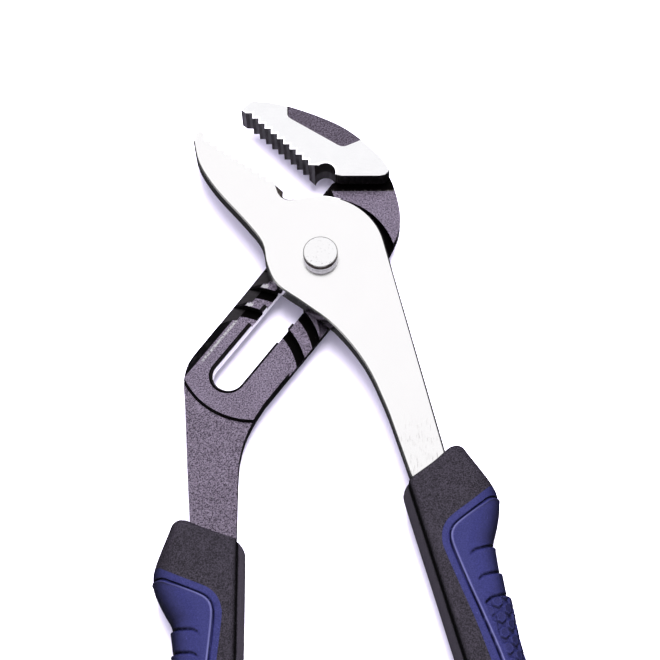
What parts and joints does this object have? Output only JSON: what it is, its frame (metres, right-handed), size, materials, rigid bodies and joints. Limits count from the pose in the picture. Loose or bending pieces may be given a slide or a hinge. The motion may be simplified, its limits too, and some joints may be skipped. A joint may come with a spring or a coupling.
{
  "type": "tongue and groove pliers",
  "caption": "Adjustable tongue and groove pliers with slanted serrated jaws, a pivot that slides along a grooved slot and padded two-colour grips.",
  "frame": {"origin": "on the pivot axis, at the flat underside of the bolt head, which is the plane the pliers lie on", "axes": "+Y towards the jaw tips along the inner lever's handle, +Z along the pivot bolt towards the round nut, +X towards the outer lever's handle"},
  "size_m": [0.119, 0.2483, 0.0196],
  "materials": {
    "satin_chrome": "satin plated",
    "gunmetal": "dark speckled, bead-blasted",
    "bolt_steel": "turned",
    "nut_chrome": "satin plated",
    "washer_steel": "plain",
    "outer_grip_black": "fine grained matt",
    "outer_grip_blue": "smooth satin",
    "inner_grip_black": "fine grained matt",
    "inner_grip_blue": "smooth satin"
  },
  "bodies": {
    "outer_half": {"outer_lever": "satin_chrome", "outer_grip_body": "outer_grip_black", "outer_grip_inlay": "outer_grip_blue"},
    "pivot": {"pivot_bolt": "bolt_steel", "pivot_nut": "nut_chrome", "pivot_washer": "washer_steel"},
    "inner_half": {"inner_lever": "gunmetal", "inner_grip_body": "inner_grip_black", "inner_grip_inlay": "inner_grip_blue"}
  },
  "joints": [
    {"name": "jaw_pivot", "type": "hinge", "parent": "outer_half", "child": "pivot", "pos_m": [0, 0, 0.0098], "axis": [0, 0, 1], "range_deg": [-30, 13]},
    {"name": "size_slide", "type": "slide", "parent": "pivot", "child": "inner_half", "axis": [0.6018, 0.7986, 0], "range_m": [0, 0.0468]}
  ]
}
